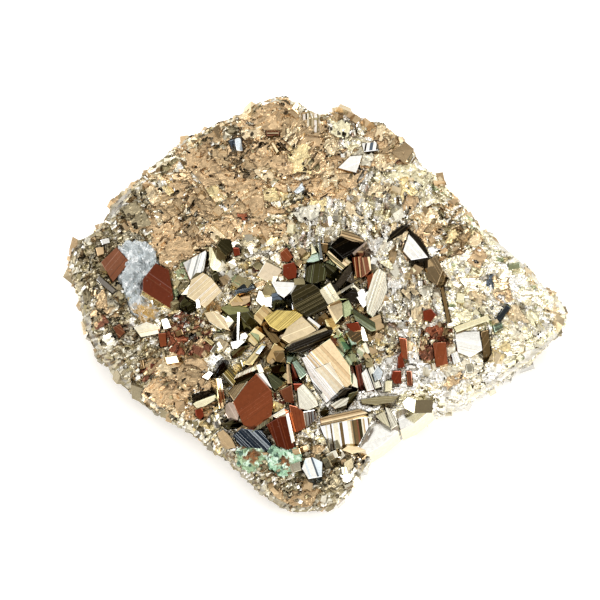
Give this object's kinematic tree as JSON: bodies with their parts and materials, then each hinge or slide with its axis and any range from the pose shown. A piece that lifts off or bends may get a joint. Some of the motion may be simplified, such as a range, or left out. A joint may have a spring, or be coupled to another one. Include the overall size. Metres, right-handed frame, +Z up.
{
  "type": "pyrite specimen",
  "caption": "Hand-sized cluster of brassy cube crystals on a massive granular base, with pale quartz and green crust patches; a decorative and study stone that rests on its flat foot.",
  "frame": {"origin": "centre of the bounding box, on the surface it rests on", "axes": "+X along the specimen towards its thin right end, +Y towards its high back, +Z up"},
  "size_m": [0.0921, 0.069, 0.042],
  "materials": {
    "pyrite": "pale brass-yellow metallic mineral, bright on fresh cube faces, bronze to copper-brown where tarnished",
    "quartz": "milky blue-grey quartz with an ochre stain at its lower end",
    "malachite": "dull powdery green crust with a rusty heart"
  },
  "bodies": {
    "root": {"pyrite": "pyrite", "quartz": "quartz", "malachite_left": "malachite", "malachite_right": "malachite"}
  },
  "joints": []
}
